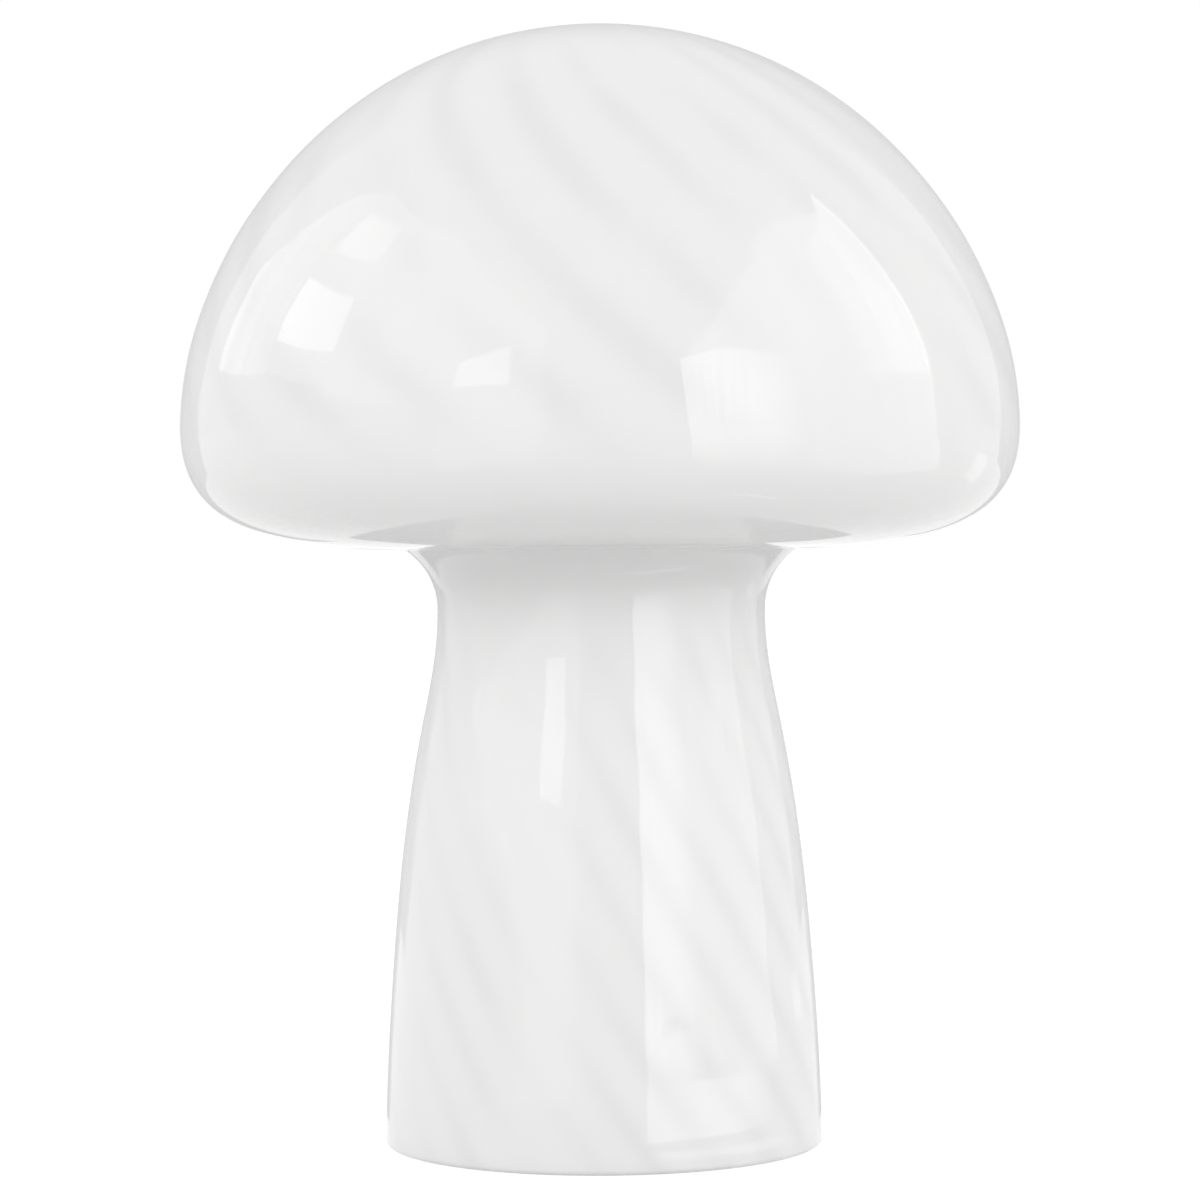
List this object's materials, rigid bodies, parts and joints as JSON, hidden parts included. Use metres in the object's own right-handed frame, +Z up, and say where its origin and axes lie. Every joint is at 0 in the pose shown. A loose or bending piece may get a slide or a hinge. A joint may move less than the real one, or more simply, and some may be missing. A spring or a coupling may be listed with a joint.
{
  "type": "table lamp",
  "caption": "Mushroom-shaped table lamp in one piece of opal swirl glass, with a screw-in bulb on a spring bracket inside its stem.",
  "frame": {"origin": "centre of the foot rim on the table, on the lamp's axis", "axes": "+Z up along the lamp's axis, -Y towards the viewer, +Y towards the cord's hole at the back, +X to the right"},
  "size_m": [0.222, 0.222, 0.296],
  "materials": {
    "opal_glass": "glossy opal glass with soft swirls",
    "grommet_rubber": "matte moulded",
    "spring_steel": "rolled, zinc plated",
    "sleeve_silicone": "translucent matte",
    "plated_steel": "zinc plated",
    "bush_plastic": "moulded",
    "holder_plastic": "moulded",
    "block_ceramic": "unglazed",
    "contact_brass": "rolled",
    "tip_metal": "tinned",
    "insulator_glass": "glossy",
    "nickel_shell": "nickel plated",
    "bulb_plastic": "satin",
    "globe_opal": "satin diffusing",
    "board_white": "white solder mask",
    "led_phosphor": "smooth",
    "board_green": "solder mask"
  },
  "bodies": {
    "lampholder": {"spring_bracket": "spring_steel", "arm_sleeve_1": "sleeve_silicone", "arm_sleeve_2": "sleeve_silicone", "arm_sleeve_3": "sleeve_silicone", "threaded_tube": "plated_steel", "lower_washer": "plated_steel", "upper_washer": "plated_steel", "lower_nut": "plated_steel", "upper_nut": "plated_steel", "tube_bush": "bush_plastic", "holder_cap": "holder_plastic", "holder_lock_screw": "plated_steel", "holder_skirt": "holder_plastic", "terminal_block": "block_ceramic", "terminal_screws": "plated_steel", "centre_contact": "contact_brass", "side_contact": "contact_brass"},
    "glass": {"glass_body": "opal_glass", "cord_grommet": "grommet_rubber"},
    "bulb_foot": {"bulb_tip": "tip_metal", "bulb_insulator": "insulator_glass"},
    "bulb": {"bulb_screw_cap": "nickel_shell", "bulb_housing": "bulb_plastic", "bulb_globe": "globe_opal", "led_board": "board_white", "led_chips": "led_phosphor", "driver_board": "board_green"}
  },
  "joints": [
    {"name": "glass_lift", "type": "slide", "parent": "lampholder", "child": "glass", "axis": [0, 0, 1], "range_m": [0, 0.2]},
    {"name": "bulb_rise", "type": "slide", "parent": "lampholder", "child": "bulb_foot", "axis": [0, 0, 1], "range_m": [0, 0.00987]},
    {"name": "bulb_turn", "type": "hinge", "parent": "bulb_foot", "child": "bulb", "pos_m": [0, 0, 0.12], "axis": [0, 0, 1], "range_deg": [0, 1260]}
  ],
  "couplings": [
    {"joint": "bulb_turn", "follows": "bulb_rise", "rad_per_m": 2226.5}
  ]
}
